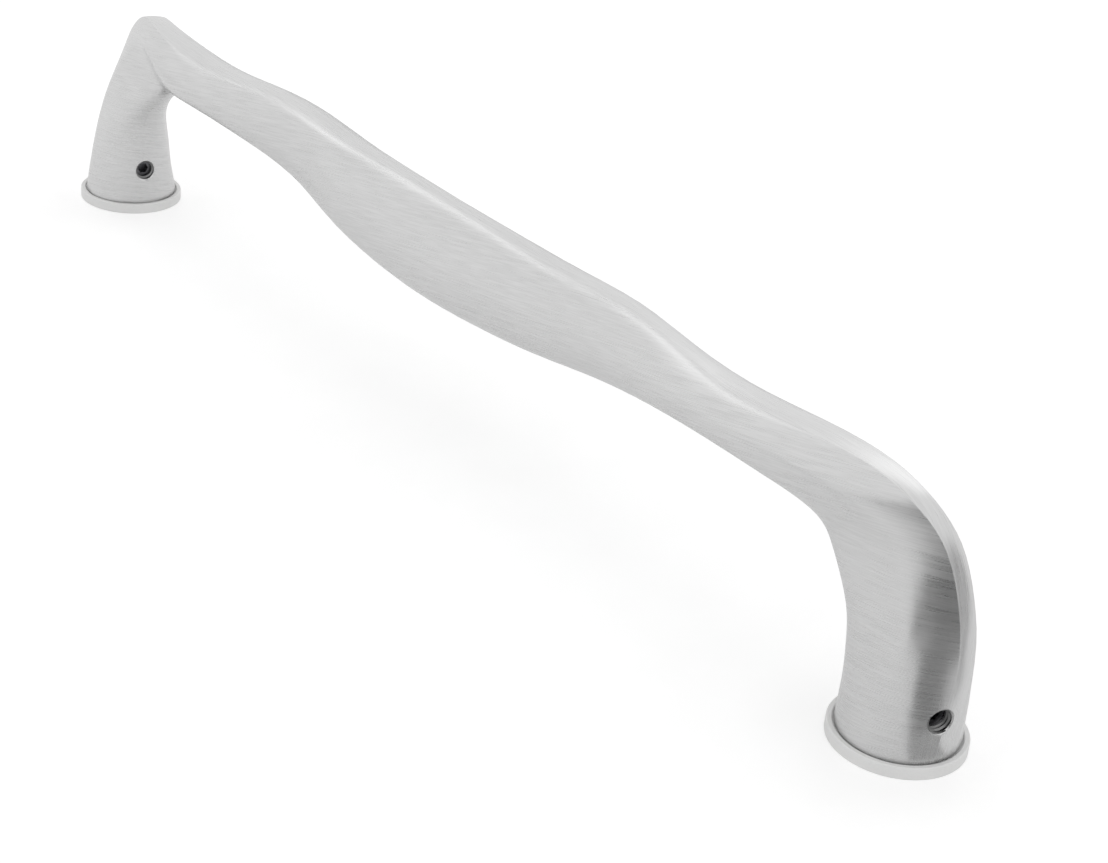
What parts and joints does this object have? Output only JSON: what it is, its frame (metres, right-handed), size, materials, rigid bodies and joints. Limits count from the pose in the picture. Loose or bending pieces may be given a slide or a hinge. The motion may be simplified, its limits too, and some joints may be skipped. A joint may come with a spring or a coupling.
{
  "type": "door pull handle",
  "caption": "Long satin metal pull handle with a swelling, slightly twisted bar on two flared legs, each on a round rose and fixing post.",
  "frame": {"origin": "on the door's face, midway between the two screw holes", "axes": "+X along the bar towards the end that hangs lowest, +Z away from the door, +Y across the bar"},
  "size_m": [0.382, 0.032, 0.0638],
  "materials": {
    "satin_metal": "fine satin brushed",
    "rose_plastic": "matt",
    "post_metal": "turned",
    "grub_screw_steel": "blackened"
  },
  "bodies": {
    "root": {"grip": "satin_metal", "rose_lower": "rose_plastic", "rose_upper": "rose_plastic", "post_lower": "post_metal", "post_upper": "post_metal", "grub_screw_lower": "grub_screw_steel", "grub_screw_upper": "grub_screw_steel"}
  },
  "joints": []
}
